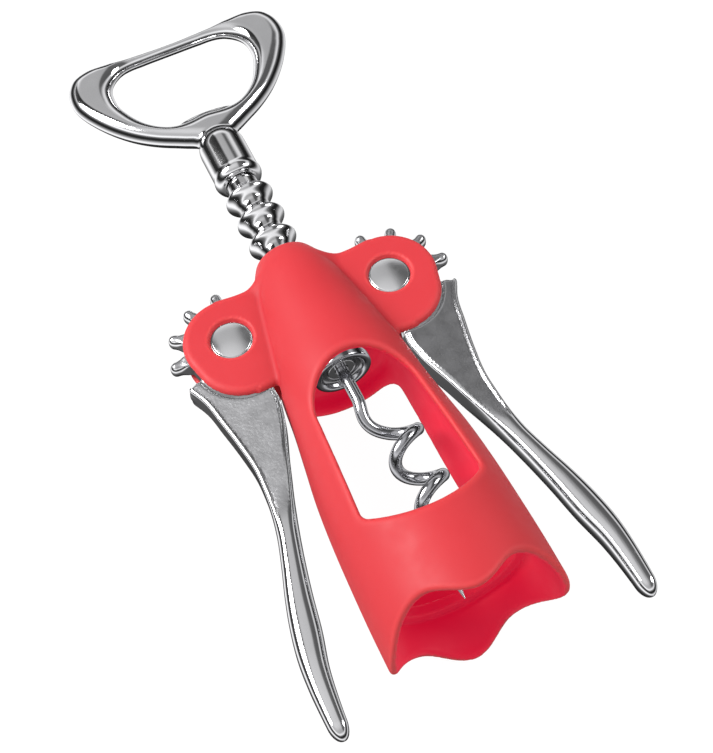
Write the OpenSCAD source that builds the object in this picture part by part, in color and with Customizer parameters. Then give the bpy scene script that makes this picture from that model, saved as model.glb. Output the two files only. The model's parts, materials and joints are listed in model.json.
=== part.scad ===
// Wing corkscrew with a cap-lifting handle, lying on its back.
// Origin: centre of the ledge that sits on the bottle's lip, on the worm axis.
// +Y runs up the worm axis to the handle, +Z comes out of the front, X spans the levers.
// Each module draws its piece upright, with the worm axis on Z and the pivots at height 0.

/* [Body] */
// Height of the lever pivots above the ledge that sits on the bottle
seat_drop = 67.5; // [60:0.5:80]
// Distance from the worm axis to each lever pivot
pivot_x = 18.4; // [17:0.1:23]
// Radius of the mouth that slips over the bottle's lip
mouth_r = 16.2; // [15.2:0.1:20]
// Wall thickness of the mouth
mouth_wall = 3.0; // [2:0.1:4]
// Wall thickness of the bell above the mouth
bell_wall = 2.5; // [1.8:0.1:3.2]
// Depth of the mouth below the ledge
mouth_depth = 12; // [9:0.5:16]
// Depth of the four notches in the mouth's rim
rim_wave = 5.5; // [2:0.5:7]
// Inner radius of the ledge
ledge_r = 13.6; // [12:0.1:15]
// Thickness over the two plates of an ear
ear_t = 8.4; // [7.4:0.1:11]
// Radius of an ear around its pivot
ear_r = 10.4; // [9.5:0.1:12.5]
// Height of the barrel's top above the pivots
barrel_h = 16; // [14:0.5:19]

/* [Levers] */
// Distance from a pivot down to the tip of its lever
lever_len = 87.6; // [75:0.5:105]
// Thickness of the toothed plate
plate_t = 4.2; // [3:0.1:5]
// Thickness of the finger grip
grip_t = 6.4; // [5:0.1:8]
// Radius of the pivot pins
pin_r = 4.4; // [2.5:0.05:5]

/* [Rack] */
// Spacing of the rings
rack_pitch = 6.67; // [5.5:0.01:8.1]
// Outer radius of the rings
ring_r = 5.6; // [5:0.1:6.2]
// Radius of the core between the rings
core_r = 3.6; // [3.2:0.1:4]
// Height of the top ring above the pivots
ring_top = 34.93; // [32:0.01:40]

/* [Handle] */
// Width of the opener loop
loop_w = 53.6; // [46:0.2:64]
// Height of the loop's top above the pivots
loop_top = 87.7; // [82:0.1:96]
// Thickness of the loop
loop_t = 6.2; // [5:0.1:8]
// Radius of the neck
neck_r = 5.45; // [5:0.05:6]

/* [Worm] */
// Radius of the worm's wire
wire_r = 1.35; // [1.1:0.05:1.6]
// Radius of the coil, at the middle of the wire
coil_r = 3.8; // [3:0.1:4.2]
// Rise of the coil in one turn
coil_pitch = 11.65; // [9:0.05:13]
// Depth of the point below the ledge
point_below = 4.9; // [0:0.1:8]

/* [Hidden] */
$fn = 96;

// Clearances
running = 0.05;      // radial, pin in bore
side_gap = 0.35;     // lever plate to each ear plate
bore_gap = 0.2;      // rings to barrel
end_gap = 0.4;       // between pieces that meet end to end
tooth_gap = 0.54;    // tooth tip to rack core
far = 60;            // longer than anything that is cut

// Body
slot_w = plate_t + 2 * side_gap;
slot_in = 1.2;       // how far the slot for an arm goes inside the waist
bore_r = ring_r + bore_gap;
waist_r = pivot_x - 4.2;
waist_z = -16;
rim_r = mouth_r + mouth_wall;
rim_z = -seat_drop - mouth_depth;
ledge_t = 2.5;
ceiling_z = -13.5;
bell_top = waist_z - 2;
ear_drop = [-0.9, -3.7];
swell = 1.9;
steps = 8;
bell = [for (i = [0:steps]) let (t = i / steps)
        [waist_r + (rim_r - waist_r) * (1 - pow(1 - t, swell)), waist_z + (rim_z - waist_z) * t]];
lip = [[bore_r + 0.5, barrel_h], [bore_r + 1.05, barrel_h - 1], [bore_r + 2.1, barrel_h - 3],
       [bore_r + 3.1, barrel_h - 5.2], [(bore_r + 3.4 + waist_r) / 2 - 0.6, 1]];
window_w = 24.4;
window_base = -seat_drop + 13.5;
window_sag = 5;
front_arch_r = 10.8;
front_arch_z = -29.8;
back_top = waist_z - 0.8;
notch_turn = 33.5;
notch_r = 13;
sink_r = pin_r + running + 0.9;
sink_d = 0.8;

// Gear: the teeth roll on a line just outside the rings
mesh_r = pivot_x - ring_r - 0.47;
tooth_step = rack_pitch / mesh_r * 180 / PI;
groove = round(ring_top / rack_pitch - 0.5);
groove_z = ring_top - (groove + 0.5) * rack_pitch;
first_tooth = asin(groove_z / mesh_r);
tooth_arc = 192;
teeth = floor(tooth_arc / tooth_step) + 1;
tip_w = 1.17;
root_w = 1.5;
hub_r = ear_r - 0.6;
tip_r = pivot_x - core_r - tooth_gap;
slot_r = tip_r + 0.55;

// Lever: middle and half-width of the arm, from the plate down to the tip.
// The grip, the last part of it, takes up any change of length.
grip_len = lever_len - 44.8;
tip_half = 1.75;
arm = [[0, 0], [3.1, -17], [3.3, -24], [3.9, -30.5], [5.1, -37], [6.85, -44.8],
       for (p = [[8.65, 0.16], [10.25, 0.30], [11.65, 0.45], [12.9, 0.6], [13.8, 0.73], [14.1, 0.87]])
           [p[0], -44.8 - p[1] * grip_len],
       [14.3, tip_half - lever_len]];
half = [hub_r - 0.8, 6.6, 5.0, 3.6, 2.75, 2.25, 2.3, 2.55, 2.85, 2.7, 2.3, 1.9, tip_half];
grip_from = 4;
shoulder = [[8, 0], [12.7, -6.4], [12.3, -7.8], [10.9, -11], [7.5, -20], [3, -17], [0, 0]];

// Rack, collar and neck
tube_r = 1.75;
collar_r = 6.5;
collar_z = -16.2;
collar_top = ceiling_z - end_gap;
tail_r = 3.0;
rings = floor((ring_top - collar_top - tube_r) / rack_pitch) + 1;
neck_ring_z = ring_top + rack_pitch;
neck_foot = neck_ring_z - tube_r;
spigot_r = 2.6;
spigot_top = neck_ring_z + 7;
shank_top = neck_ring_z + 13;

// Loop
corner_r = 6.5;
corner = [loop_w / 2 - corner_r, loop_top - corner_r];
lower_r = 8.4;
lower = [9.8, loop_top - 21];
root_r = 6.6;
root_z = loop_top - 28.6;
eye_corner_r = 4.6;
eye_corner = [corner[0] - 7.9, loop_top - 8.2];
eye_side = [11, loop_top - 19.2];
eye_side_r = 4.4;
tongue_w = 13;
tongue_t = 2.4;
tongue_h = 1.6;

// Worm
point_z = -seat_drop - point_below;
coil_x = coil_r + 0.4;
bend_top = -23;
bend_foot = -31.5;
taper = 9;
straight = 3;
point_r = 0.25;
ring_sides = 10;
ring_count = 90;

module lay_down() rotate([-90, 0, 0]) translate([0, 0, seat_drop]) children();

module upright(t) rotate([90, 0, 0]) translate([0, 0, -t / 2]) linear_extrude(t) children();

// Two circles and the straight flanks that touch both
module link(a, ra, b, rb) {
    d = b - a;
    turn = atan2(d[1], d[0]);
    open = acos((ra - rb) / norm(d));
    translate(a) circle(ra);
    translate(b) circle(rb);
    polygon([for (q = [[a, ra, 1], [b, rb, 1], [b, rb, -1], [a, ra, -1]])
             q[0] + q[1] * [cos(turn + q[2] * open), sin(turn + q[2] * open)]]);
}

function arc(c, r, from, to) = let (n = ceil(abs(to - from) / 7.5) + 1)
    [for (i = [0:n]) let (a = from + (to - from) * i / n) c + r * [cos(a), sin(a)]];

// Direction, seen from circle i, of the point where the belt to the next circle leaves it
function leaving(p, r, i) = let (b = (i + 1) % len(p), d = p[b] - p[i])
    atan2(d[1], d[0]) - acos((r[i] - r[b]) / norm(d));

// A belt pulled tight around circles listed anticlockwise
function belt(p, r) = [for (i = [0:len(p) - 1])
    let (from = leaving(p, r, (i + len(p) - 1) % len(p)), turn = (leaving(p, r, i) - from + 720) % 360)
    each arc(p[i], r[i], from, from + turn)];

// A value on the smooth curve through a list, at t steps along it
function along(list, t) = let (n = len(list) - 1, i = min(floor(t), n - 1), u = t - i, a = list[max(i - 1, 0)],
                               b = list[i], c = list[i + 1], d = list[min(i + 2, n)])
    b + u * (c - a) / 2 + u * u * (a - 2.5 * b + 2 * c - d / 2) + u * u * u * ((d - a) / 2 + 1.5 * (b - c));

// The edge of a strip of changing width, and its outline with a round far end
function strip_edge(p, r, t, side) = let (d = along(p, min(t + 0.1, len(p) - 1)) - along(p, max(t - 0.1, 0)))
    along(p, t) + side * along(r, t) / norm(d) * [-d[1], d[0]];
function strip(p, r, from) = let (last = len(p) - 1, n = 2 * (last - from), d = p[last] - p[last - 1],
                                  end = atan2(d[1], d[0]))
    concat([for (i = [0:n - 1]) strip_edge(p, r, from + i / 2, -1)],
           arc(p[last], r[last], end - 90, end + 90),
           [for (i = [n - 1:-1:0]) strip_edge(p, r, from + i / 2, 1)]);

module both() {
    children();
    mirror([1, 0, 0]) children();
}

module ear_outline() {
    link([pivot_x, 0], ear_r, [pivot_x, 0] + ear_drop, ear_r);
    polygon([[0, barrel_h - 4.6], [bore_r + 2.6, barrel_h - 4.6], [pivot_x - 7.4, ear_r - 0.4],
             [pivot_x, ear_r], [pivot_x + ear_drop[0], ear_drop[1] - ear_r], [0, ear_drop[1] - ear_r]]);
}

module slot_outline() {
    translate([pivot_x, 0]) circle(slot_r);
    translate([waist_r - slot_in, waist_z]) square([far, far / 2]);
}

module window_sides(top_w, top_z) {
    w = window_w / 2;
    polygon([[-w, window_base], [w, window_base], [top_w, top_z], [-top_w, top_z]]);
    sag_r = (w * w + window_sag * window_sag) / (2 * window_sag);
    intersection() {
        translate([0, window_base - window_sag + sag_r]) circle(sag_r);
        translate([-w, window_base - far / 2]) square([2 * w, far / 2 + 0.01]);
    }
}

module body_skin() {
    rotate_extrude() polygon(concat([[0, barrel_h]], lip, bell, [[0, rim_z]]));
    both() upright(ear_t) ear_outline();
}

module body_hollow() {
    inner = [for (p = bell) if (p[1] < bell_top && p[1] > -seat_drop + ledge_t) p - [bell_wall, 0]];
    rotate_extrude() polygon(concat(
        [[0, ceiling_z], [waist_r - bell_wall - 1, ceiling_z], [waist_r - bell_wall + 0.3, bell_top]],
        inner,
        [[mouth_r - 0.4, -seat_drop + ledge_t], [0, -seat_drop + ledge_t]]));
    translate([0, 0, -seat_drop - 1]) cylinder(r = ledge_r, h = ledge_t + 2);
    translate([0, 0, rim_z - 1]) cylinder(r = mouth_r, h = mouth_depth + 1);
    translate([0, 0, ceiling_z - 1]) cylinder(r = bore_r, h = barrel_h - ceiling_z + 2);
}

module body() {
    color([0.92, 0.28, 0.3]) difference() {
        body_skin();
        body_hollow();
        both() upright(slot_w) slot_outline();
        translate([0, -far / 2, 0]) upright(far) {
            window_sides(front_arch_r, front_arch_z);
            translate([0, front_arch_z]) circle(front_arch_r);
        }
        translate([0, far / 2, 0]) upright(far) window_sides(front_arch_r, back_top);
        for (turn = [-1, 1])
            rotate([90, 0, turn * notch_turn]) translate([0, rim_z + rim_wave - notch_r, -far / 2])
                cylinder(r = notch_r, h = far);
        both() translate([pivot_x, 0, 0]) rotate([90, 0, 0]) {
            cylinder(r = pin_r + running, h = far, center = true);
            for (side = [0, 1]) mirror([0, 0, side]) translate([0, 0, ear_t / 2 - sink_d])
                cylinder(r1 = pin_r + running, r2 = sink_r, h = sink_d + 0.001);
        }
    }
}

module pivot_pin() {
    dome = 1.0;
    len = ear_t - 2 * 0.3;
    dome_r = (pin_r * pin_r + dome * dome) / (2 * dome);
    color([0.78, 0.78, 0.8]) translate([pivot_x, 0, 0]) rotate([90, 0, 0]) intersection() {
        cylinder(r = pin_r, h = len, center = true);
        translate([0, 0, len / 2 - dome_r]) sphere(dome_r);
        translate([0, 0, dome_r - len / 2]) sphere(dome_r);
    }
}

module lever() {
    color([0.8, 0.8, 0.82]) difference() {
        translate([pivot_x, 0, 0]) {
            upright(plate_t) {
                circle(hub_r);
                polygon(strip(arm, half, 0));
                polygon(shoulder);
                for (i = [0:teeth - 1]) rotate(180 - first_tooth - i * tooth_step)
                    polygon(belt([[hub_r - 1, 0], [tip_r - tip_w, 0]], [root_w, tip_w]));
            }
            upright(grip_t) polygon(strip(arm, half, grip_from));
        }
        translate([pivot_x, 0, 0]) rotate([90, 0, 0])
            cylinder(r = pin_r + running, h = far, center = true);
    }
}

module rack_sleeve() {
    color([0.8, 0.8, 0.82]) difference() {
        union() {
            translate([0, 0, collar_top - 1.2]) cylinder(r = tail_r, h = 3);
            translate([0, 0, collar_top]) cylinder(r = core_r, h = neck_foot - end_gap - collar_top);
            translate([0, 0, neck_foot - 1]) cylinder(r = spigot_r, h = spigot_top - neck_foot + 1);
            for (i = [0:rings - 1]) translate([0, 0, ring_top - i * rack_pitch])
                rotate_extrude() translate([ring_r - tube_r, 0]) circle(tube_r);
        }
        translate([0, 0, -far / 2]) cylinder(r = wire_r + running, h = 2 * far);
    }
}

module end_collar() {
    dish_r = 5.2;
    dish_d = 1.0;
    color([0.6, 0.6, 0.62]) translate([0, 0, collar_z]) difference() {
        cylinder(r = collar_r, h = collar_top - collar_z);
        translate([0, 0, -1]) cylinder(r = dish_r, h = dish_d + 1);
        translate([0, 0, -1]) cylinder(r = tail_r, h = collar_top - collar_z + 2);
    }
}

module eye()
    polygon(belt([eye_corner, [-eye_corner[0], eye_corner[1]], [-eye_side[0], eye_side[1]], eye_side],
                 [eye_corner_r, eye_corner_r, eye_side_r, eye_side_r]));

module loop_outline()
    polygon(belt([corner, [-corner[0], corner[1]], [-lower[0], lower[1]], [0, root_z], lower],
                 [corner_r, corner_r, lower_r, root_r, lower_r]));

module opener_handle() {
    color([0.8, 0.8, 0.82]) difference() {
        union() {
            upright(loop_t) difference() {
                loop_outline();
                eye();
            }
            upright(tongue_t) translate([-tongue_w / 2, root_z]) square([tongue_w, 5 + tongue_h]);
            translate([0, 0, neck_ring_z]) cylinder(r = neck_r, h = root_z - neck_ring_z);
            translate([0, 0, neck_ring_z]) rotate_extrude() translate([ring_r - tube_r, 0]) circle(tube_r);
            translate([0, 0, neck_foot]) cylinder(r = ring_r - tube_r, h = tube_r + 1);
        }
        translate([0, 0, neck_foot - 1]) cylinder(r = spigot_r + running, h = spigot_top + end_gap - neck_foot + 1);
        cylinder(r = wire_r, h = shank_top);
    }
}

// Middle line of the wire at height z: straight on the axis down to bend_top, a coil below bend_foot,
// a smooth curve between them, and straight on the axis again at the point
function ease(u) = let (v = min(max(u, 0), 1)) v * v * (3 - 2 * v);
function coil_at(z) = let (w = 360 * z / coil_pitch) [coil_x + coil_r * cos(w), coil_r * sin(w)];
function bend_at(t) = let (p = coil_at(bend_foot), d = coil_at(bend_foot - 0.01) - coil_at(bend_foot + 0.01))
    t * t * (3 - 2 * t) * p + t * t * (t - 1) * d * (bend_top - bend_foot) / 0.02;
function wire_at(z) = let (t = (bend_top - z) / (bend_top - bend_foot), e = ease((z - point_z - straight) / taper),
                           p = t <= 0 ? [0, 0] : t < 1 ? bend_at(t) : coil_at(z) * e)
    [p[0], p[1], z];
function unit(v) = v / norm(v);
function ring_at(z, r) = let (t = unit(wire_at(z - 0.05) - wire_at(z + 0.05)), u = unit([-t[2], 0, t[0]]),
                              v = cross(t, u))
    [for (k = [0:ring_sides - 1]) let (a = 360 * k / ring_sides) wire_at(z) + r * (cos(a) * u + sin(a) * v)];

// Half the wire's width: sunk a little where it runs inside the shank, sharpened at the point
function wire_size(z) = z > bend_top + 0.2 ? wire_r - 0.05
                                         : point_r + (wire_r - point_r) * min((z - point_z) / taper, 1);

module worm() {
    start = bend_top + 1.4;
    zs = [for (i = [0:ring_count]) start + (point_z - start) * i / ring_count];
    points = [for (z = zs) each ring_at(z, wire_size(z))];
    n = ring_sides;
    sides = [for (i = [0:ring_count - 1], k = [0:n - 1])
             let (a = i * n + k, b = i * n + (k + 1) % n)
             each [[a + n, b + n, b], [a + n, b, a]]];
    color([0.6, 0.6, 0.62]) {
        polyhedron(points, concat([[for (k = [0:n - 1]) k]], sides,
                                  [[for (k = [n - 1:-1:0]) ring_count * n + k]]));
        translate([0, 0, bend_top + 0.5]) cylinder(r = wire_r, h = shank_top - bend_top - 0.6);
    }
}

lay_down() body();
lay_down() mirror([1, 0, 0]) pivot_pin();  // pivot_pin_left
lay_down() pivot_pin();  // pivot_pin_right
lay_down() mirror([1, 0, 0]) lever();  // lever_left
lay_down() lever();  // lever_right
lay_down() rack_sleeve();
lay_down() end_collar();
lay_down() opener_handle();
lay_down() worm();
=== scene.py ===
# %% [markdown]
# # A wing corkscrew
# A red plastic bell stands on the bottle's lip. Two plated levers turn in its ears, and their teeth
# drive a ringed sleeve. The sleeve carries the worm, which hangs from a handle with a loop for
# lifting crown caps. The corkscrew lies on its back. Across is X, up the worm axis is Y, and the
# front faces up, along Z. Shapes below are drawn in millimetres as (across, height, front), where
# height is measured from the pivots of the levers.

import json

import bpy
import numpy as np
from mathutils import Matrix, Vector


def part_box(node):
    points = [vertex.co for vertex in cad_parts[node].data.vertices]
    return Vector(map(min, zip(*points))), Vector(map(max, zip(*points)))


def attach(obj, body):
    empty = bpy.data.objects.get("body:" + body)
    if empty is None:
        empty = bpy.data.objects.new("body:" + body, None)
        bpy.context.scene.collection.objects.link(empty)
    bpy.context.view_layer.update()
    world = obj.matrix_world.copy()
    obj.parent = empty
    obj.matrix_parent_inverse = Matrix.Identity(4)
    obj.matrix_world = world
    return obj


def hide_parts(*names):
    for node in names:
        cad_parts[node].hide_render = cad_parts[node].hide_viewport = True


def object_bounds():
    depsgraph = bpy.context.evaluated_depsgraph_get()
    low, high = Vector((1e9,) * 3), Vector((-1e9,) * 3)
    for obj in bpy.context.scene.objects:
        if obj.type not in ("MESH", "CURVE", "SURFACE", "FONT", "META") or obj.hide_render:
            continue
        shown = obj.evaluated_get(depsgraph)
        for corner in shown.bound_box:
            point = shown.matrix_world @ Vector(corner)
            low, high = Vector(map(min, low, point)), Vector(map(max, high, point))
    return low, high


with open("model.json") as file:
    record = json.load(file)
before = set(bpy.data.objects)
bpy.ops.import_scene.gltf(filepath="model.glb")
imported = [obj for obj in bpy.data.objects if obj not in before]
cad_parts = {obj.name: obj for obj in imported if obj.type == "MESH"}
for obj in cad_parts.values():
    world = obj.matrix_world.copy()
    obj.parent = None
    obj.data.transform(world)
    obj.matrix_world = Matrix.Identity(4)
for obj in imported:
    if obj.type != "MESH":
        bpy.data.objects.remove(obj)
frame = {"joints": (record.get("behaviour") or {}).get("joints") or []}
size_before = [list(corner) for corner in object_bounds()]
hinge = next(joint for joint in frame["joints"] if joint["name"] == "lever_right_hinge")
pivot = 1000 * hinge["pos_m"][0]
seat = 1000 * hinge["pos_m"][1]
pin_sunk = 0.3
ear_half = 1000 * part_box("pivot_pin_right")[1][2] + pin_sunk
print(f"pivots {pivot:.1f} mm from the axis, {seat:.1f} mm above the ledge")
print(f"ears {2 * ear_half:.1f} mm thick")

# %% [markdown]
# ## The camera
# A product picture of a corkscrew is taken from above with a longish lens, so that the far end doesn't
# shrink. A camera could be aimed with a Track To constraint. Its full matrix is given here instead,
# because the roll of the view matters as much as its aim: it looks down on the front, from the mouth's
# end and a little to the left, and the corkscrew runs from the upper left to the lower right.

# %% Camera
camera = bpy.data.objects.new("camera", bpy.data.cameras.new("camera"))
bpy.context.scene.collection.objects.link(camera)
camera.data.lens = 73.42
camera.data.sensor_width = 36
camera.matrix_world = Matrix((
    (0.9067, 0.3855, -0.1712, -0.05281),
    (-0.4183, 0.7690, -0.4835, -0.10564),
    (-0.0548, 0.5100, 0.8585, 0.27537),
    (0, 0, 0, 1),
))
bpy.context.scene.camera = camera
print(f"camera {camera.location.length * 1000:.0f} mm from the ledge")

# %% [markdown]
# ## Making a piece
# Every piece ends up as a mesh. It could be modelled with Blender's primitives and edit tools, but
# arrays of points let a shape be stated as a formula, and the same helper then serves all of them. A
# piece also keeps a few numbers at each point, such as how sharp its surface is there, because a
# finish needs to know where the edges and creases are.

# %% Points and faces to a mesh
def make_piece(name, points, faces, marks=None, normals=None):
    """Mesh of points (across, height, front) in mm; faces are arrays of quads or triangles, turned to
    face outwards when the sum of their signed tetrahedra is negative."""
    fans = [face[:, [0, k, k + 1]] for face in faces for k in range(1, face.shape[1] - 1)]
    corner = points[np.concatenate(fans)]
    volume = np.einsum("ij,ij->i", corner[:, 0], np.cross(corner[:, 1], corner[:, 2])).sum() / 6
    if volume < 0:
        faces = [face[:, ::-1] for face in faces]
    where = (points + [0, seat, 0]) / 1000
    order = np.concatenate([face.ravel() for face in faces]).astype(np.int32)
    sizes = np.concatenate([np.full(len(face), face.shape[1]) for face in faces])
    mesh = bpy.data.meshes.new(name)
    mesh.vertices.add(len(where))
    mesh.vertices.foreach_set("co", where.ravel().astype(np.float32))
    mesh.loops.add(len(order))
    mesh.loops.foreach_set("vertex_index", order)
    mesh.polygons.add(len(sizes))
    mesh.polygons.foreach_set("loop_start", (np.cumsum(sizes) - sizes).astype(np.int32))
    mesh.update(calc_edges=True)
    mesh.shade_smooth()
    for mark, value in (marks or {}).items():
        mesh.attributes.new(mark, "FLOAT", "POINT").data.foreach_set("value", value.astype(np.float32))
    if normals is not None:
        mesh.normals_split_custom_set_from_vertices(normals)
    piece = bpy.data.objects.new(name, mesh)
    bpy.context.scene.collection.objects.link(piece)
    print(f"{name}: {len(points)} points, {int((sizes - 2).sum())} triangles, {abs(volume) / 1000:.2f} cm3")
    return piece


def smooth(points, at):
    """Value at each place in at on the curve through points (place, value): between two points a
    cubic whose end slopes are the mean slopes of the neighbours."""
    place, value = np.asarray(points, float).T
    slope = np.gradient(value, place)
    i = np.clip(np.searchsorted(place, at) - 1, 0, len(place) - 2)
    d = place[i + 1] - place[i]
    u = np.clip((at - place[i]) / d, 0, 1)
    start = value[i] * (1 + 2 * u) + slope[i] * d * u
    end = value[i + 1] * (3 - 2 * u) - slope[i + 1] * d * (1 - u)
    return start * (1 - u) ** 2 + end * u**2


def ease(t):
    """Rises from 0 to 1 as t does, level at both ends: 3 t squared less 2 t cubed."""
    t = np.clip(t, 0, 1)
    return t * t * (3 - 2 * t)


print("smooth curve at 0.5 between 0 and 1:", smooth([(0, 0), (1, 1)], np.array([0.5])))

# %% [markdown]
# ### Rows of points
# Wire, rings and pins are rows of points that close round a line. A curve with a bevel could sweep
# the wire and a Screw modifier could turn a profile. Rows in an array do both, and they close their
# own ends, so the mesh needs no repair afterwards.

# %% Rows of points to faces
def grid_faces(rows, columns, around=False):
    """Quads between neighbours in a grid of points whose columns close, and whose rows too if around."""
    i = np.arange(rows if around else rows - 1)[:, None]
    j = np.arange(columns)[None]
    at = [((i + a) % rows) * columns + (j + b) % columns for a, b in ((0, 0), (0, 1), (1, 1), (1, 0))]
    return np.stack(at, -1).reshape(-1, 4)


def capped(rows, first, last):
    """Closed rows of points between two single points: quads between rows, a fan to each point."""
    n, m = rows.shape[:2]
    points = np.concatenate([[first], rows.reshape(-1, 3), [last]])
    j = np.arange(m)
    k = (j + 1) % m
    fan_a = np.stack([np.zeros(m, int), 1 + k, 1 + j], 1)
    fan_b = np.stack([np.full(m, n * m + 1), 1 + (n - 1) * m + j, 1 + (n - 1) * m + k], 1)
    return points, [grid_faces(n, m) + 1, np.concatenate([fan_a, fan_b])]


def rounded(corners, radius, spacing):
    """A closed outline with each sharp corner replaced by a parabola that starts radius away from it,
    and points added so that none are further apart than spacing. A corner where the outline turns by
    less than 18 degrees only moves to the middle of its parabola."""
    here = np.asarray(corners, float)
    to_last, to_next = np.roll(here, 1, 0) - here, np.roll(here, -1, 0) - here
    long_a, long_b = np.linalg.norm(to_last, axis=1), np.linalg.norm(to_next, axis=1)
    cut = np.minimum(radius, 0.48 * np.minimum(long_a, long_b))[:, None]
    a, b = here + to_last / long_a[:, None] * cut, here + to_next / long_b[:, None] * cut
    t = np.linspace(0, 1, 7)[None, :, None]
    bent = (1 - t) ** 2 * a[:, None] + 2 * t * (1 - t) * here[:, None] + t**2 * b[:, None]
    sharp = (to_last * to_next).sum(1) > -0.95 * long_a * long_b
    loop = bent[sharp[:, None] | (np.arange(7) == 3)]
    loop = np.concatenate([loop, loop[:1]])
    at = np.concatenate([[0], np.cumsum(np.linalg.norm(np.diff(loop, axis=0), axis=1))])
    where = np.union1d(at, np.arange(0, at[-1], spacing))[:-1]
    where = where[np.diff(where, prepend=-1) > 0.02]
    return np.stack([np.interp(where, at, loop[:, k]) for k in (0, 1)], 1)


def turned(outline, sides=112):
    """A closed outline of (radius, height) swept through a full turn round the worm axis."""
    a = np.linspace(0, 2 * np.pi, sides, endpoint=False)
    r, h = outline.T
    grid = np.stack([np.outer(r, np.cos(a)), np.repeat(h[:, None], sides, 1), np.outer(r, np.sin(a))], -1)
    return grid.reshape(-1, 3), [grid_faces(len(r), sides, around=True)]


square = rounded([(1, 0), (2, 0), (2, 1), (1, 1)], 0.2, 0.1)
print("a square with rounded corners has", len(square), "points")

# %% [markdown]
# ## The worm
# The worm is one length of spring-steel wire, wound to the right. The straight top of it is the
# shank inside the sleeve, and the bottom is ground to a point that lies on the axis, so that it
# starts in the middle of the cork. A Screw modifier makes an even coil easily, but not the bend that
# leads into it or the return to the axis. A circle swept along a middle line that is a function of
# height makes all three in one piece, with the taper of the ground point.

# %% Worm
worm_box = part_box("worm")
worm_top = 1000 * worm_box[1][1] - seat
worm_point = 1000 * worm_box[0][1] - seat
wire_r = 1.35


def coil(h):
    """Place across and to the front on the coil at height h: 3.8 mm radius, 11.65 mm rise a turn."""
    turn = 2 * np.pi * np.asarray(h) / 11.65
    return np.stack([4.2 + 3.8 * np.cos(turn), -3.8 * np.sin(turn)], -1)


def wire_middle(h, top=-23.0, foot=-31.5):
    """Middle line at height h: straight on the axis to top, a cubic that meets the coil's place and
    slope at foot, the coil, and a return to the axis that ends 3 mm above the point."""
    t = np.clip((top - h) / (top - foot), 0, 1)[:, None]
    slope = (coil(foot - 0.01) - coil(foot + 0.01)) * (top - foot) / 0.02
    bend = t * t * (3 - 2 * t) * coil(foot) + t * t * (t - 1) * slope
    back = ease((h - worm_point - 3) / 9)[:, None]
    place = np.where(t < 1, bend, coil(h) * back)
    return np.stack([place[:, 0], h, place[:, 1]], -1)


def swept(middle, radius, sides):
    """Circles of that radius square to the middle line, between its first and last points."""
    along = np.gradient(middle, axis=0)
    along /= np.linalg.norm(along, axis=1, keepdims=True)
    side = np.cross(along, [0, 0, 1.0])
    side /= np.linalg.norm(side, axis=1, keepdims=True)
    up = np.cross(along, side)
    a = np.linspace(0, 2 * np.pi, sides, endpoint=False)[None, :, None]
    rows = middle[:, None] + radius[:, None, None] * (np.cos(a) * side[:, None] + np.sin(a) * up[:, None])
    return capped(rows[1:-1], middle[0], middle[-1])


print(f"worm from {worm_top:.1f} to {worm_point:.1f} mm; the coil is {2 * (3.8 + wire_r):.1f} mm across")

# %% [markdown]
# ### The ground point
# The maker grinds the last 9 mm of the wire on a wheel. The radius falls a little faster near the
# tip, so the point is slightly rounded, and each point of the mesh remembers how far it is ground.

# %% Worm wire
heights = np.concatenate([np.linspace(worm_top, -19, 70), np.linspace(-19.2, worm_point + 0.02, 640)])
ground = np.clip((heights - worm_point) / 9, 0, 1)
half_wire = wire_r * (0.04 + 0.96 * ground**0.85) * np.minimum(1, 0.9 + (worm_top - heights) / 3)
points, faces = swept(wire_middle(heights), half_wire, 28)
edge = np.concatenate([[0], np.repeat(ground[1:-1], 28), [0]])
worm = make_piece("worm_wire", points, faces, {"ground": edge})

# %% [markdown]
# ## The sleeve
# The sleeve is lathe work. Its rings act as a rack that still works when it is turned, and the
# levers' teeth push on them. Rings could be tori joined to a tube, but the tool leaves one flowing
# profile, so it is drawn as one: a cosine wave raised to a power, which makes the rings narrower than
# the grooves between them. The profile goes up the outside and back down the bore.

# %% Sleeve
ring_pitch, ring_top = 6.67, 34.93
ring_h = np.linspace(ring_top - 7 * ring_pitch - 1.9, ring_top + 2.2, 300)
swing = 0.5 + 0.5 * np.cos(2 * np.pi * (ring_h - ring_top) / ring_pitch)
rings = np.stack([3.6 + 2.0 * swing**1.75, ring_h], 1)
foot = [(1.42, -15.1), (3, -15.1), (3, -13.95), (3.6, -13.95)]
head = [(3.6, 39.45), (2.6, 39.45), (2.6, 48.6), (1.42, 48.6)]
outline = rounded(np.concatenate([foot, rings, head]), 0.15, 0.34)
points, faces = turned(outline, 80)
# Painted shade: the grooves between the rings are marked as creases, so the finish paints them darker.
depth = np.clip((5.6 - np.hypot(points[:, 0], points[:, 2])) / 2, 0, 1)
sleeve = make_piece("sleeve_with_rings", points, faces, {"edge": 0.5 - depth})

# %% [markdown]
# ## The collar
# A dished steel ring is pressed on the sleeve's foot. It stops the sleeve at the top of its travel,
# and it is the first thing that shows in the window. It is turned from six corners, all rounded.

# %% Collar
dish = [(3.02, -15.0), (4.6, -15.0), (4.95, -16.2)]
rim = [(6.5, -16.2), (6.5, -13.95), (3.02, -13.95)]
points, faces = turned(rounded(dish + rim, 0.6, 0.2))
# Painted shade: the dish inside 4.5 mm is marked as a crease, so the finish paints it darker.
out_of_dish = ease((np.hypot(points[:, 0], points[:, 2]) - 4.5) / 0.5)
collar = make_piece("collar_ring", points, faces, {"edge": out_of_dish - 0.8})

# %% [markdown]
# ## The pivot pins
# Each lever turns on a steel pin pressed through the ear. Its ends are domed by polishing, so they
# mirror a wide piece of the room. A cylinder with a Bevel modifier has flat ends. Here the dome, the
# corner and the side are one profile, carried round the pin.

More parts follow.
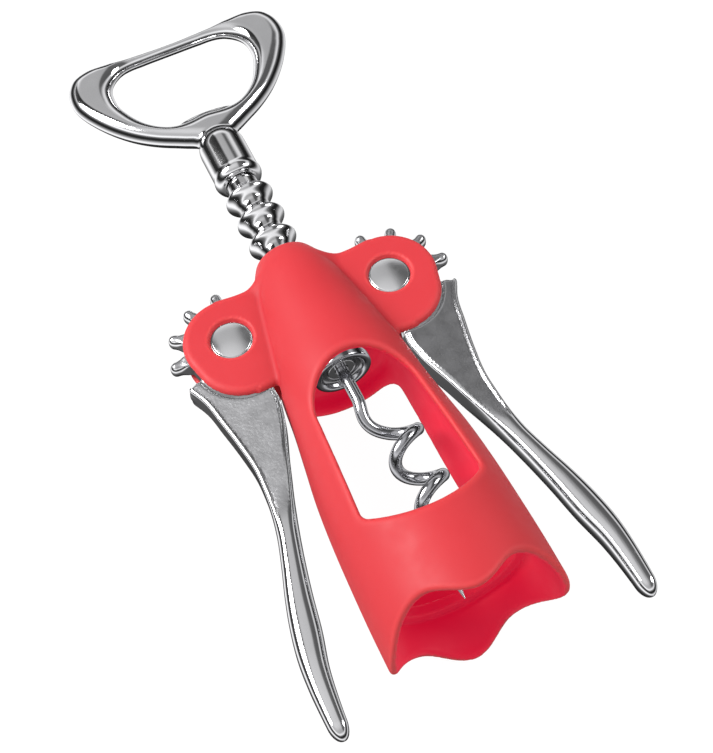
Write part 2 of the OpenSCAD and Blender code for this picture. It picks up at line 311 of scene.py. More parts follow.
# %% Pins
def domed_pin(radius, half, dome, corner=0.35, sides=96):
    """A cylinder along the front axis: radius follows a corner, then a shallow dome whose height
    falls with the square of the distance from the middle."""
    bend = 1 - np.sin(np.linspace(0.1, np.pi / 2, 10))
    r = np.concatenate([np.linspace(0, radius - corner, 40), radius - corner * bend])
    lift = half - dome * (r / radius) ** 2 - 0.25 * ease((r - radius + corner) / corner)
    r, lift = np.concatenate([r, r[::-1]]), np.concatenate([lift, -lift[::-1]])
    a = np.linspace(0, 2 * np.pi, sides, endpoint=False)
    rows = np.stack([np.outer(r, np.cos(a)), np.outer(r, np.sin(a)), np.repeat(lift[:, None], sides, 1)], -1)
    return capped(rows[1:-1], rows[0, 0], rows[-1, 0])


pin_r = 500 * (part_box("pivot_pin_right")[1][0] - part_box("pivot_pin_right")[0][0])
points, faces = domed_pin(pin_r, ear_half - pin_sunk, 0.45)
from_middle = np.hypot(points[:, 0], points[:, 1]) / pin_r
# Painted shade: the outer tenth of each pin, its rim and side, is marked as a crease, so the finish paints
# it darker.
pin_rim_shade = {"edge": 0.3 - ease((from_middle - 0.9) * 10)}
pins = [make_piece(f"pin_{word}", points + [side * pivot, 0, 0], faces, pin_rim_shade)
        for side, word in ((-1, "left"), (1, "right"))]

# %% [markdown]
# ## Solids as functions
# The levers, the handle and the body are castings and mouldings: plates, rings and shells that run
# into each other with rounded edges. Booleans of simple solids leave sharp joints that a Bevel
# modifier can't always round, and a subdivision cage of such a shape is slow to draw. So each solid
# is written as one function of a place, negative inside and positive outside, in which parts are
# blended as they are joined. The skin is found on a fine grid, every point is moved onto the surface,
# and the shading directions come from the same function, so the chrome mirrors a true curve.

# %% Joining and cutting
def join(a, b, k):
    """The lower of two fields, blended over a band k wide where they are nearly equal."""
    return np.minimum(a, b) - 0.25 * k * np.clip(1 - np.abs(a - b) / k, 0, 1) ** 2


def both(a, b, k):
    """The higher of two fields, blended over a band k wide, so that the edge is rounded."""
    return -join(-a, -b, k)


def gradient(field, points, step=0.02):
    """Slope of the field in the three directions, from the values a small step either side."""
    move = step * np.eye(3)
    return np.stack([(field(points + d) - field(points - d)) / (2 * step) for d in move], -1)


def onto(field, points):
    """Points moved along the slope by the value over the slope's length, which puts them on the skin."""
    slope = gradient(field, points)
    steep = np.maximum((slope**2).sum(1, keepdims=True), 0.05)
    move = field(points)[:, None] * slope / steep
    return points - np.clip(move, -0.3, 0.3)


print("two equal fields joined over 1 mm fall by", -join(0.0, 0.0, 1.0), "mm")


# %% Skinning
def skin(field, low, high, cell):
    """Quads round every grid edge that crosses the skin. Each point is the mean of the crossings on
    the edges of one grid cell, then settled between its neighbours and moved onto the skin."""
    axes = [np.arange(a, b + cell, cell) for a, b in zip(low, high)]
    value = field(np.stack(np.meshgrid(*axes, indexing="ij"), -1))
    shape = value.shape
    places, crossings, quads = [], [], []
    for a in range(3):
        b, c = (a + 1) % 3, (a + 2) % 3
        lower = np.take(value, np.arange(shape[a] - 1), a)
        upper = np.take(value, np.arange(1, shape[a]), a)
        at = np.argwhere((lower < 0) != (upper < 0))
        one, two = lower[tuple(at.T)], upper[tuple(at.T)]
        crossing = at.astype(float)
        crossing[:, a] += one / (one - two)
        ring = []
        for db, dc in ((0, 0), (1, 0), (1, 1), (0, 1)):
            home = at.copy()
            home[:, b] -= db
            home[:, c] -= dc
            ring.append(np.ravel_multi_index(home.T, shape))
        ring = np.stack(ring, 1)
        places.append(ring.ravel())
        crossings.append(np.repeat(crossing, 4, axis=0))
        quads.append(np.where((one < 0)[:, None], ring, ring[:, ::-1]))
    used, index = np.unique(np.concatenate(places), return_inverse=True)
    crossings = np.concatenate(crossings)
    count = np.bincount(index)
    points = np.stack([np.bincount(index, crossings[:, k]) for k in range(3)], 1)
    points = points / count[:, None] * cell + low
    quads = np.searchsorted(used, np.concatenate(quads))
    ends = np.concatenate([quads[:, [k, (k + 1) % 4]] for k in range(4)])
    near = np.bincount(ends[:, 0])
    for _ in range(4):
        total = np.stack([np.bincount(ends[:, 0], points[ends[:, 1], k]) for k in range(3)], 1)
        points = onto(field, 0.5 * (points + total / near[:, None]))
    points = onto(field, points)
    return points, quads


def shading(field, points):
    """Outward direction at each point, and how sharp the surface is there: the field's second
    difference along the surface, above 0 on outer edges and below 0 in creases."""
    out = gradient(field, points)
    out /= np.linalg.norm(out, axis=1, keepdims=True)
    one = np.cross(out, np.where(np.abs(out[:, :1]) < 0.7, [[1.0, 0, 0]], [[0, 1.0, 0]]))
    one /= np.linalg.norm(one, axis=1, keepdims=True)
    two = np.cross(out, one)
    reach = 0.5
    around = sum(field(points + reach * d) + field(points - reach * d) for d in (one, two))
    return out, np.clip((around - 4 * field(points)) / reach, -1, 1)


ball = skin(lambda p: np.linalg.norm(p, axis=-1) - 2, [-3, -3, -3], [3, 3, 3], 0.5)
print("a ball of radius 2 mm comes out between", np.linalg.norm(ball[0], axis=1).min().round(4), "and",
      np.linalg.norm(ball[0], axis=1).max().round(4))

# %% [markdown]
# ## The levers
# A lever is a zinc casting, chromed all over. Its toothed plate runs in the slot of an ear. Outside
# the ear the arm is thicker, with a shallow sunk panel inside a raised rim, and it narrows to a
# waist before the long finger grip. It could be an extruded outline with a bevel, but its thickness
# changes all the way down, so it is a function. The two long edges are smooth curves through a few
# places (height, across). The right lever is described, and the left is its mirror image.

# %% Lever edges
outer_edge = [(-93, 34.2), (-88.5, 34.2), (-85.8, 34.3), (-82, 34.42), (-76, 34.45), (-70.3, 34.1),
              (-64, 33), (-57.5, 31.3), (-51.5, 29.4), (-44.8, 27.5), (-37, 26.2), (-30.5, 25.9),
              (-24, 26.7), (-17, 28), (-11, 29.3), (-6.9, 31.2), (-3, 33.4)]
inner_edge = [(-93, 30.5), (-85.5, 30.4), (-80.7, 30.0), (-74, 29.1), (-66.4, 27.3), (-58.7, 25.9),
              (-48.7, 23.7), (-39, 21.1), (-29.5, 18.2), (-20.5, 15.3), (-16.9, 14.7), (-15.1, 14.8),
              (-12, 15), (-3, 15)]
edge_h = np.linspace(-93, -3, 361)
edge_out, edge_in = smooth(outer_edge, edge_h), smooth(inner_edge, edge_h)
tilt_out = 1 / np.hypot(1, np.gradient(edge_out, edge_h))
tilt_in = 1 / np.hypot(1, np.gradient(edge_in, edge_h))
lever_tip = -87.6
plate_half = 2.1
arm_half = 3.1
hub_r = 9.8
tooth_from, tooth_long, tooth_half = 8.8, 4.0, 1.5
ear_gap_r = 10.65
web_r = 14.5
running = 0.05
print(f"arm {edge_out.max() - edge_in.min():.1f} mm across over its whole length")


# %% [markdown]
# ### Arm, grip and panel
# The arm's outline leaves an even gap round the ear, which is what lets it swing. The grip is a bar
# with soft corners: a superellipse, which is between an ellipse and a rectangle, feels like the real
# one under the fingers. The panel is only a quarter of a millimetre deep, and it stays rough.

# %% Lever parts
def from_ear(x, h, r):
    """Distance outside the ear's outline: a bar from the pivot to a point below it, r round."""
    t = np.clip(((x - pivot) * -0.9 + h * -3.7) / (0.9**2 + 3.7**2), 0, 1)
    return np.hypot(x - pivot + 0.9 * t, h + 3.7 * t) - r


def arm_outline(x, h):
    """Distance outside the arm, seen from the front: the further of the two edges, the gap round the
    ear and the sloping top."""
    sides = np.maximum((x - np.interp(h, edge_h, edge_out)) * np.interp(h, edge_h, tilt_out),
                       (np.interp(h, edge_h, edge_in) - x) * np.interp(h, edge_h, tilt_in))
    top = 0.9 * (h + 5.2) + 0.44 * (x - 28)
    return both(both(sides, -from_ear(x, h, ear_gap_r), 0.4), top, 1.2)


def grip_field(x, h, f):
    """Rounded bar between the two edges: across over half its width and front over half its
    thickness, each to the power 2.8, summed, and the 2.8th root of that less 1. Both halves shrink
    as a quarter circle at the tip."""
    left, right = np.interp(h, edge_h, edge_in), np.interp(h, edge_h, edge_out)
    end = np.sqrt(np.clip(1 - (np.maximum(lever_tip + 3.3 - h, 0) / 3.3) ** 2, 0.002, 1))
    wide = 0.5 * (right - left) * end
    thick = (3.2 - 0.8 * ease((-h - 70) / 17)) * end
    u, w = np.abs(x - 0.5 * (left + right)) / wide, f / thick
    ball = (u**2.8 + w**2.8 + 1e-9) ** (1 / 2.8) - 1
    return np.maximum(ball * np.minimum(wide, thick), lever_tip - h)


def panel_depth(x, h):
    """1 on the floor of the sunk panel, 0 outside it: eased over 0.45 mm, 0.75 mm in from the side
    edges, and over the stretch from 39 to 43.5 mm below the pivot."""
    rim = np.minimum(np.interp(h, edge_h, edge_out) - x, x - np.interp(h, edge_h, edge_in))
    return ease((rim - 0.75) / 0.45) * ease((h + 43.5) / 4.5)


print(f"panel {panel_depth(21.0, -20.0):.0f} in its middle, {panel_depth(21.0, -50.0):.0f} on the grip")

# %% [markdown]
# ### Teeth
# Seven round-ended teeth mesh with the rings, one step of 31 degrees for each ring. A real gear
# tooth is an involute. Cast teeth that meet round rings are only pegs, so a tapering bar is enough.

# %% Lever solid
teeth = np.radians(188.18 - 30.99 * np.arange(7))


def lever_field(p):
    """Arm, toothed plate and web joined, less the bore. A tooth is a round-ended peg that tapers, and
    the web is a sector that carries the arm's load into the plate."""
    x, h, f = p[..., 0], p[..., 1], np.abs(p[..., 2])
    middle = 0.5 * (np.interp(h, edge_h, edge_out) + np.interp(h, edge_h, edge_in))
    half = arm_half - panel_depth(x, h) * (0.25 + 0.1 * (x - middle))
    sheet = both(arm_outline(x, h), f - half, 0.8)
    grip = ease((-h - 33) / 14)
    arm = (1 - grip) * sheet + grip * grip_field(x, h, f)
    r = np.hypot(x - pivot, h)
    wheel = r - hub_r
    for a in teeth:
        along = (x - pivot) * np.cos(a) + h * np.sin(a) - tooth_from
        across = (x - pivot) * -np.sin(a) + h * np.cos(a)
        t = np.clip(along / tooth_long, 0, 1)
        wheel = join(wheel, np.hypot(along - tooth_long * t, across) - tooth_half + 0.22 * t, 0.5)
    angle = np.arctan2(h, x - pivot)
    web = np.maximum(np.maximum(r - web_r, 8 * (np.abs(angle + 1.17) - 0.66)), -from_ear(x, h, 6))
    cheek = f - plate_half + 0.25 * ease((r - 10) / 2)
    plate = both(join(wheel, web, 0.8), cheek, 0.35 + 1.3 * ease((r - 10) / 2.5))
    return both(join(arm, plate, 0.35), pin_r + running - r, 0.3)


points, quads = skin(lever_field, np.array([2.9, -88.8, -3.9]), np.array([35.3, 15.4, 3.9]), 0.33)
normals, edge = shading(lever_field, points)
panel = panel_depth(points[:, 0], points[:, 1]) * (np.abs(normals[:, 2]) > 0.8)
marks = {"edge": edge, "panel": panel}
lever_right = make_piece("lever_right_casting", points, [quads], marks, normals)
mirror = np.array([-1, 1, 1])
lever_left = make_piece("lever_left_casting", points * mirror, [quads[:, ::-1]], marks, normals * mirror)

# %% [markdown]
# ## The handle
# The handle is one more chromed casting: a neck with a ring at its foot like those of the sleeve,
# and above it a wide loop. The loop turns the worm into the cork, and its eye takes a crown cap, with
# a thin tongue on the lower edge that lifts the cap's rim. A bevelled curve could follow the loop,
# but its section changes from narrow at the top to broad at the corners. So the outside and the eye
# are two outlines given as (direction in degrees, radius), and the solid is what lies between them.
# The walls lean from a parting line half way through, as a casting's do.

# %% Loop outline
loop_middle = 73
loop_outer = [(-111, 18.7), (-90, 20), (-69, 18.7), (-60.6, 18.5), (-46.5, 19), (-31, 20.3), (-15, 22.4),
              (-3.7, 24.5), (3, 26), (9, 27.3), (15, 28.1), (22, 28.4), (28, 27.8), (34, 25.8), (42, 21.8),
              (50, 18.4), (60, 15.9), (70, 14.5), (90, 13.5), (110, 14.5)]
loop_eye = [(-130, 13.9), (-90, 11), (-50, 13.9), (-31.8, 14.8), (-10.9, 15.9), (8.3, 17.4), (23, 17.9),
            (36.5, 16.8), (57.5, 13), (90, 11), (122.5, 13)]
turn = np.linspace(-90, 90, 361)
neck_r, neck_top, neck_foot = 5.45, 55.2, 41.6
bead_middle, bead_r = 3.85, 1.75
socket_r, socket_top = 2.75, 49
print(f"eye {2 * smooth(loop_eye, turn).max():.0f} mm across at its widest")


def ring_distance(x, h, outline):
    """Distance outside an outline given as radius for each direction, made true by its slope."""
    r = smooth(outline, turn)
    lean = 1 / np.hypot(1, np.gradient(r, np.radians(turn)) / r)
    across, up = np.abs(x), h - loop_middle
    angle = np.degrees(np.arctan2(up, across))
    return (np.hypot(across, up) - np.interp(angle, turn, r)) * np.interp(angle, turn, lean)


# %% Handle solid
def handle_field(p):
    """Loop between its two outlines, tongue, neck and foot ring joined, less the socket."""
    x, h, f = p[..., 0], p[..., 1], np.abs(p[..., 2])
    draft = 0.27 * np.hypot(f, 0.15)
    flat = both(ring_distance(x, h, loop_outer) + draft, draft - ring_distance(x, h, loop_eye), 0.4)
    loop = both(flat, f - np.interp(h, [56, 62, 87], [3.2, 3.1, 2.5]), 2.7)
    tongue = both(both(np.abs(x) - 6.5, h - 62.6 + 0.02 * x * x, 1), both(f - 1.2, 58 - h, 0.4), 0.5)
    r = np.hypot(x, p[..., 2])
    neck = both(both(r - neck_r, h - neck_top, 4.5), neck_foot - h, 0.3)
    foot = both(np.hypot(r - bead_middle, h - neck_foot) - bead_r, neck_foot - 1.7 - h, 0.2)
    foot = join(foot, both(r - bead_middle, np.abs(h - 41) - 1.1, 0.2), 0.2)
    solid = join(join(loop, tongue, 0.7), join(neck, foot, 0.5), 1.3)
    return both(solid, -both(r - socket_r, h - socket_top, 0.5), 0.2)


points, quads = skin(handle_field, np.array([-28.6, 39.2, -6.2]), np.array([28.6, 88.2, 6.2]), 0.34)
normals, edge = shading(handle_field, points)
handle = make_piece("handle_casting", points, [quads], {"edge": edge, "panel": 0 * edge}, normals)

# %% [markdown]
# ## The body
# The body is one moulding in a tough red plastic: a barrel that guides the sleeve, two slotted ears
# for the levers, and a bell that flares to the mouth. A window in the front and one in the back let
# fingers hold a cork, and the rim is scalloped so that it sits clear of foil and drips. A Spin and a
# Solidify would make the bell, but the ears must melt into it and every cut has a moulded edge. As a
# function, each join and each cut has its own width of blend. The outside is a smooth curve through
# a few places (height, radius).

# %% Body profile
profile = [(-84, 19.25), (-79.5, 19.2), (-69, 19.1), (-60, 18.8), (-50, 18.3), (-41, 17.5), (-32, 16.2),
           (-25, 15.2), (-16, 14.22), (-8, 12.78), (0, 11.3), (4, 10.5), (8, 9.6), (11, 8.75), (13, 7.95),
           (15, 6.9), (16, 6.3), (18, 5.2)]
profile_h = np.linspace(-84, 18, 681)
profile_r = smooth(profile, profile_h)
profile_tilt = 1 / np.hypot(1, np.gradient(profile_r, profile_h))
window_side = ((-54, 12.4), (-29.8, 10.8))
back_top = -17.2
sag_middle, sag_r = -41.1, 17.9
barrel_top, bell_ceiling = 15.9, -13.5
bore_r, ledge_r, mouth_r = 5.8, 13.6, 16.2
slot_half, slot_r = 2.45, 14.8
print(f"body {2 * profile_r.max():.1f} mm across at the mouth")


# %% [markdown]
# ### Rim and windows
# The rim is a wave that runs round the mouth, made of half cosines, so it has no corners. The windows
# are outlines seen from the front and the back.

# %% Rim and windows
def rim_height(x, f):
    """Height of the rim in the direction of x and f: two half cosines between the points over the
    front, the notch at 33.5 degrees and the points at the sides."""
    angle = np.degrees(np.arctan2(np.abs(x), np.abs(f)))
    near = -76 - 2 * np.cos(np.pi * angle / 33.5)
    far = -76.75 + 2.75 * np.cos(np.pi * (angle - 33.5) / 56.5)
    return np.where(angle < 33.5, near, far)


def window(x, h, top):
    """Outline of a window seen from the front: leaning sides, a sagging lower edge, and an arch or
    a straight top."""
    (h0, w0), (h1, w1) = window_side
    sag = np.where(h < sag_middle, np.hypot(x, h - sag_middle), np.abs(x)) - sag_r
    if top is None:
        leaning = np.abs(x) - w0 - (w1 - w0) * (h - h0) / (h1 - h0)
        return both(np.where(h > h1, np.hypot(x, h - h1) - w1, leaning), sag, 1.2)
    sides = np.abs(x) - w0 - (w1 - w0) * (h - h0) / (top - h0)
    return both(both(sides, h - top, 4), sag, 1.2)


print(f"rim at {rim_height(0.0, 1.0):.1f} mm in front and {rim_height(1.0, 0.0):.1f} mm at the sides")


# %% Body solid
def body_field(p):
    """Barrel, bell and ears joined, then bored, hollowed, slotted and cut by windows and rim."""
    x, h, f = p[..., 0], p[..., 1], p[..., 2]
    ax, af, r = np.abs(x), np.abs(f), np.hypot(x, f)
    shell = (r - np.interp(h, profile_h, profile_r)) * np.interp(h, profile_h, profile_tilt)
    round_part = both(shell, h - barrel_top, 0.5)
    web_x, web_h = ax - 18, np.abs(h + 1.95) - 12.1
    web = np.hypot(np.maximum(web_x, 0), np.maximum(web_h, 0)) + np.minimum(np.maximum(web_x, web_h), 0)
    ear = both(join(from_ear(ax, h, 10.4), web, 1.2), af - ear_half, 1.7)
    solid = join(round_part, ear, 1.0 + 2.2 * ease((h - 6.5) / 4))
    wall = np.where(h < -60, 2.6, 2.5)
    bell = both(both(shell + wall, h - bell_ceiling, 2), 2.5 - seat - h, 0.8)
    solid = both(solid, -bell, 0.6)
    solid = both(solid, -np.maximum(r - ledge_r, np.abs(h + seat - 1) - 4), 0.6)
    mouth = mouth_r + 1.3 * ease((-69 - h) / 8)
    solid = both(solid, -both(r - mouth, h + seat, 0.4), 0.5)
    solid = both(solid, -np.maximum(r - bore_r, -15 - h), 0.35)
    reach = np.hypot(ax - pivot, h)
    slot = np.maximum(np.minimum(reach - slot_r, np.maximum(13 - ax, -16 - h)), af - slot_half)
    solid = both(solid, -slot, 0.6)
    front = both(window(x, h, None), 3 - f, 0.5)
    back = both(window(x, h, back_top), 3 + f, 0.5)
    solid = both(solid, -np.minimum(front, back), 1.8)
    solid = both(solid, pin_r + running + 0.6 * np.maximum(af - ear_half + 0.9, 0) - reach, 0.3)
    return both(solid, 0.88 * (rim_height(x, f) - h), 1.0)


points, quads = skin(body_field, np.array([-29.6, -80.6, -20.2]), np.array([29.6, 17.2, 20.2]), 0.56)
normals, edge = shading(body_field, points)
outside = np.hypot(points[:, 0], points[:, 2]) - np.interp(points[:, 1], profile_h, profile_r) > -1.2
marks = {"edge": edge, "outside": outside.astype(float)}
body = make_piece("body_moulding", points, [quads], marks, normals)

# %% [markdown]
# ## Finishes
# Each finish is a small network: a base colour, a roughness that wanders, and a fine relief. It could
# be painted on an unwrapped mesh, but noise in the object's own space needs no seams and stays sharp
# at any distance. The marks on the meshes say where edges are painted paler as light and where
# creases and recesses are painted darker as shade.

# %% Building a finish
def finish_base(name):
    """A new material with an empty network and the place on the object for its textures."""
    made = bpy.data.materials.new(name)
    made.use_nodes = True
    made.node_tree.nodes.clear()
    return made, made.node_tree, put(made.node_tree, "ShaderNodeTexCoord").outputs["Object"]


def put(tree, kind, inputs=None, **settings):
    """A node of that kind, with its settings, and each input given a value or joined to an output."""
    made = tree.nodes.new(kind)
    for key, value in settings.items():
        setattr(made, key, value)
    for key, value in (inputs or {}).items():
        if isinstance(value, bpy.types.NodeSocket):
            tree.links.new(value, made.inputs[key])
        else:
            made.inputs[key].default_value = value
    return made


def noise(tree, where, scale, detail=3, stretch=None):
    """Cloudy texture with features about one over scale metres across, stretched if asked."""
    if stretch:
        where = put(tree, "ShaderNodeMapping", {"Vector": where, "Scale": stretch}).outputs[0]
    cloudy = put(tree, "ShaderNodeTexNoise", {"Vector": where, "Scale": scale, "Detail": detail})
    return cloudy.outputs["Fac"]


def bump(tree, height, strength, distance, under=None):
    """Relief of that distance in metres between the lowest and highest, on top of the one under it."""
    inputs = {"Height": height, "Strength": strength, "Distance": distance}
    if under is not None:
        inputs["Normal"] = under
    return put(tree, "ShaderNodeBump", inputs).outputs[0]


def combined(tree, a, b, how="ADD"):
    """Two numbers added, or combined in the way that is named."""
    return put(tree, "ShaderNodeMath", {0: a, 1: b}, operation=how).outputs[0]


def ranged(tree, value, low, high, to_low, to_high):
    """Value carried from one range to another, and held at its ends."""
    inputs = {"Value": value, "From Min": low, "From Max": high, "To Min": to_low, "To Max": to_high}
    return put(tree, "ShaderNodeMapRange", inputs).outputs[0]


def mark(tree, name):
    """A number kept at each point of the mesh."""
    return put(tree, "ShaderNodeAttribute", attribute_name=name).outputs["Fac"]


def blended(tree, amount, one, two):
    """Colour one turned into colour two by that amount."""
    return put(tree, "ShaderNodeMixRGB", {"Fac": amount, "Color1": one, "Color2": two}).outputs[0]


def close(tree, surface):
    """Joins the surface to the material's output."""
    put(tree, "ShaderNodeOutputMaterial", {"Surface": surface.outputs[0]})


print("finish helpers ready")

# %% [markdown]
# ### Red plastic
# The body is moulded in coloured plastic and left satin. Convex edges are painted paler, as painted
# light for what thin edges let through, creases are painted darker as shade, and the surface carries
# a faint grain from the mould. Light that enters the wall comes out again inside the bell, where it
# looks a deep crimson. Full subsurface scattering could show that, but it is slow and noisy in a thin
# wall. A little scattering, a deeper base colour painted inside and a weak painted glow there give
# the same look.

# %% Red plastic
plastic, tree, where = finish_base("red_plastic")
cloud = noise(tree, where, 60, 4)
red = blended(tree, cloud, (0.53, 0.026, 0.034, 1), (0.58, 0.034, 0.042, 1))
# Painted light: convex edges are turned a paler red, for light through thin edges.
red = blended(tree, ranged(tree, mark(tree, "edge"), 0.05, 0.8, 0, 0.55), red, (0.80, 0.085, 0.085, 1))
# Painted shade: creases are turned a deeper, darker red.
red = blended(tree, ranged(tree, mark(tree, "edge"), -0.05, -0.7, 0, 0.5), red, (0.50, 0.004, 0.020, 1))
red = blended(tree, ranged(tree, mark(tree, "outside"), 0, 1, 0.8, 0), red, (0.54, 0.002, 0.020, 1))
rough = ranged(tree, noise(tree, where, 240, 5), 0.3, 0.7, 0.50, 0.62)
grain = noise(tree, where, 2600, 2)
flow = noise(tree, where, 90, 2)
relief = bump(tree, grain, 0.3, 0.00002, bump(tree, flow, 0.35, 0.00012))
close(tree, put(tree, "ShaderNodeBsdfPrincipled", {
    "Base Color": red, "Roughness": rough, "Normal": relief, "IOR": 1.49,
    "Subsurface Weight": 0.12, "Subsurface Radius": (1.0, 0.2, 0.15), "Subsurface Scale": 0.0015,
    "Specular IOR Level": 0.35, "Emission Color": (0.85, 0.0, 0.06, 1),
    "Emission Strength": ranged(tree, mark(tree, "outside"), 0, 1, 0.30, 0)}))
print("red plastic made")

# %% [markdown]
# ### Plated metal
# Chrome over a polished casting mirrors the room, but the casting under it is never flat, so the
# reflections wander. The sunk panels are left as cast and look frosted. The pins are turned, and the
# wire of the worm is drawn and duller, with fine lines along it. One function makes all three, because
# they differ only in tint, in polish and in the direction of their lines.

# %% Plated metal
def plated(name, tint, smooth_rough, wave, lines, dull_panel=False):
    """Metal of that tint: roughness wanders between 0.7 and 1.5 times the one given, and a slow wave
    and fine lines make the relief."""
    made, tree, where = finish_base(name)
    colour = blended(tree, noise(tree, where, 130, 3), (*tint, 1), (*[0.93 * c for c in tint], 1))
    # Painted shade: where the edge number marks a crease or recess, the metal is turned towards near black.
    crease = ranged(tree, mark(tree, "edge"), -0.15, -0.9, 0, 0.55)
    colour = blended(tree, crease, colour, (0.16, 0.155, 0.15, 1))
    rough = ranged(tree, noise(tree, where, 320, 4), 0.3, 0.7, 0.7 * smooth_rough, 1.5 * smooth_rough)
    slow = noise(tree, where, 150, 1)
    fine = noise(tree, where, 900, 2, lines)
    relief = bump(tree, fine, 0.25, 0.000004, bump(tree, slow, 0.6, wave))
    if dull_panel:
        floor = mark(tree, "panel")
        colour = blended(tree, ranged(tree, floor, 0, 1, 0, 0.7), colour, (0.32, 0.32, 0.33, 1))
        frost = combined(tree, noise(tree, where, 1400, 4), floor, "MULTIPLY")
        relief = bump(tree, frost, 0.8, 0.00006, relief)
        rough = combined(tree, rough, ranged(tree, floor, 0, 1, 0, 0.22))
    close(tree, put(tree, "ShaderNodeBsdfPrincipled", {
        "Base Color": colour, "Metallic": 1, "Roughness": rough, "Normal": relief}))
    return made


chrome = plated("chrome", (0.80, 0.80, 0.81), 0.085, 0.00006, (1, 0.12, 1), dull_panel=True)
pin_metal = plated("pin_metal", (0.82, 0.82, 0.83), 0.16, 0.00001, (1, 1, 0.1))
worm_metal = plated("worm_metal", (0.47, 0.47, 0.49), 0.15, 0.00002, (1, 0.15, 1))
print("metals made:", chrome.name, pin_metal.name, worm_metal.name)

# %% [markdown]
# ## Putting the pieces on the frame
# Every piece takes the place of its plain counterpart, moves with the same body, and is given the
# finish in its row. A table says it once for each piece, so nothing can be left behind when the
# levers rise.

# %% Pieces on bodies
fitted = [
    (body, "frame", ["body"], "body_plastic", plastic),
    (pins[0], "frame", ["pivot_pin_left"], "pin_steel", pin_metal),
    (pins[1], "frame", ["pivot_pin_right"], "pin_steel", pin_metal),
    (lever_left, "lever_left", ["lever_left"], "chrome_cast", chrome),
    (lever_right, "lever_right", ["lever_right"], "chrome_cast", chrome),
    (sleeve, "rack", ["rack_sleeve"], "chrome_cast", chrome),
    (collar, "rack", ["end_collar"], "worm_steel", worm_metal),
    (handle, "handle", ["opener_handle"], "chrome_cast", chrome),
    (worm, "handle", ["worm"], "worm_steel", worm_metal),
]
for piece, moves_with, stands_for, finish_slot, finish in fitted:
    piece.data.materials.append(finish)
    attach(piece, moves_with)
    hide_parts(*stands_for)
print(len(fitted), "pieces fitted")

# %% [markdown]
# ## The card
# The corkscrew lies on white card that looks lit from behind, as in a catalogue. A plain white
# material would need strong lamps that bleach the red plastic, so most of its light is its own.
# Glossy rays pass through the card and the red body, so the metal mirrors only the sky.

# %% Floor
floor_z = size_before[0][2]
reach = np.linspace(-1.5, 1.5, 41)
grid = np.stack(np.meshgrid(reach, reach, indexing="ij"), -1).reshape(-1, 2)
i = (np.arange(40)[:, None] * 41 + np.arange(40)[None]).reshape(-1)
card = bpy.data.meshes.new("card")
card.from_pydata(np.column_stack([grid, np.full(len(grid), floor_z)]).tolist(), [],
                 np.stack([i, i + 41, i + 42, i + 1], 1).tolist())
floor = bpy.data.objects.new("floor_card", card)
bpy.context.scene.collection.objects.link(floor)
paper, tree, where = finish_base("white_card")
tone = blended(tree, noise(tree, where, 25, 3), (0.90, 0.90, 0.90, 1), (0.94, 0.94, 0.94, 1))
tooth = bump(tree, noise(tree, where, 900, 3), 0.1, 0.0001)
matte = put(tree, "ShaderNodeBsdfDiffuse", {"Color": tone, "Normal": tooth})
glow = put(tree, "ShaderNodeEmission", {"Color": (1, 1, 1, 1), "Strength": 1.05})
close(tree, put(tree, "ShaderNodeMixShader", {0: 0.93, 1: matte.outputs[0], 2: glow.outputs[0]}))
floor.data.materials.append(paper)
floor.visible_glossy = False
body.visible_glossy = False
print(f"floor at {1000 * floor_z:.1f} mm")

# %% [markdown]
# ## The sky
# Chrome looks like what it mirrors. The room could hold real screens and soft boxes. Here the sky
# itself carries them: grey overhead, bright bands above and below, black near the horizon, and two
# darker screens at the upper left and the upper right, which draw the dark streaks on the metal.

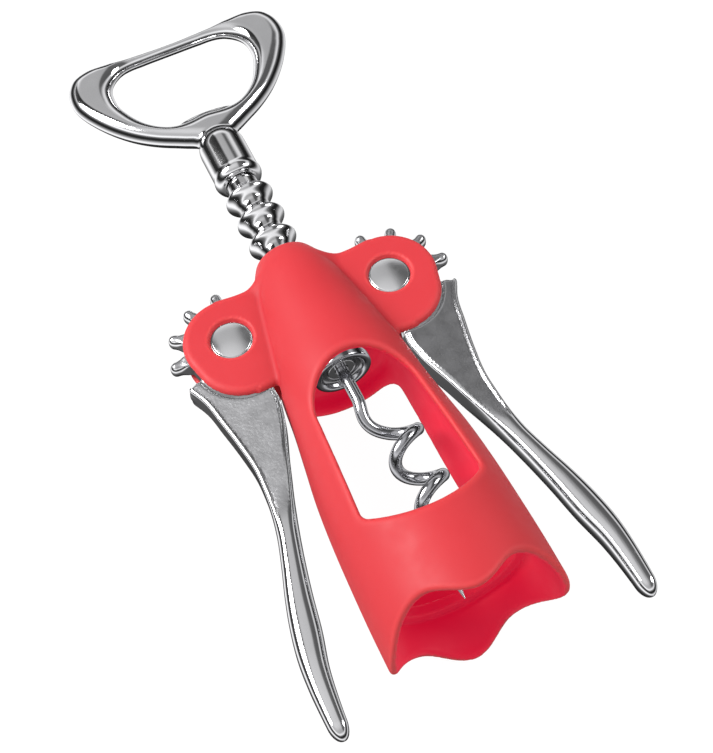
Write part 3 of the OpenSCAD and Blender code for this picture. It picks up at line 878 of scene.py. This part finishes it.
# %% Sky
world = bpy.data.worlds.new("room")
bpy.context.scene.world = world
world.use_nodes = True
tree = world.node_tree
tree.nodes.clear()
way = put(tree, "ShaderNodeTexCoord").outputs["Generated"]
parts = put(tree, "ShaderNodeSeparateXYZ", {0: way}).outputs
ramp = put(tree, "ShaderNodeValToRGB", {0: ranged(tree, parts["Z"], -1, 1, 0, 1)})
bands = [(-1.0, 0.02), (-0.90, 0.03), (-0.74, 0.25), (-0.56, 1.1), (-0.40, 0.95), (-0.24, 0.30),
         (-0.08, 0.02), (0.16, 0.02), (0.34, 0.22), (0.46, 1.15), (0.56, 0.95), (0.68, 0.50),
         (0.84, 0.52), (1.0, 0.80)]
stops = [((z + 1) / 2, level) for z, level in bands]
for number, (at, level) in enumerate(stops):
    stop = ramp.color_ramp.elements[number] if number < 2 else ramp.color_ramp.elements.new(at)
    stop.position, stop.color = at, (level, level, 1.01 * level, 1)
side = ranged(tree, parts["X"], -0.7, 0.7, 1.25, 0.78)


def card_in_sky(strength, shade, spans):
    """Sky dimmed by shade inside a span of directions, with soft ends: 1 less the product of a rise
    and a fall for each span."""
    inside = shade
    for part, low, high, soft in spans:
        rise = ranged(tree, parts[part], low - soft, low + soft, 0, 1)
        fall = ranged(tree, parts[part], high - soft, high + soft, 1, 0)
        inside = combined(tree, inside, combined(tree, rise, fall, "MULTIPLY"), "MULTIPLY")
    return combined(tree, strength, combined(tree, 1.0, inside, "SUBTRACT"), "MULTIPLY")


upper_left = [("X", -0.74, -0.16, 0.05), ("Y", 0.2, 1.1, 0.1), ("Z", 0.44, 0.9, 0.05)]
upper_right = [("X", 0.27, 1.1, 0.06), ("Z", 0.62, 1.1, 0.05)]
side = card_in_sky(card_in_sky(side, 0.94, upper_left), 0.72, upper_right)
put(tree, "ShaderNodeOutputWorld", {"Surface": put(tree, "ShaderNodeBackground", {
    "Color": ramp.outputs[0], "Strength": side}).outputs[0]})
print(f"sky of {len(bands)} bands and 2 screens")


# %% [markdown]
# ## The lamps
# A broad lamp stands at the upper left and a weaker one at the right. They shape the plastic, which
# the sky alone would leave flat.

# %% Lamps
def lamp(name, place, size, power):
    """A square soft lamp that faces the middle of the corkscrew."""
    light = bpy.data.lights.new(name, "AREA")
    light.size, light.energy = size, power
    made = bpy.data.objects.new(name, light)
    bpy.context.scene.collection.objects.link(made)
    made.location = place
    aim = made.location - Matrix.Translation((0, 0.07, 0)).translation
    made.rotation_euler = aim.to_track_quat("Z", "Y").to_euler()
    return made


lamp("lamp_left", (-0.55, 0.35, 0.6), 0.45, 9)
lamp("lamp_right", (0.6, -0.1, 0.5), 0.3, 2.5)
bpy.context.scene.view_settings.view_transform = "Standard"
bpy.context.scene.view_settings.look = "None"
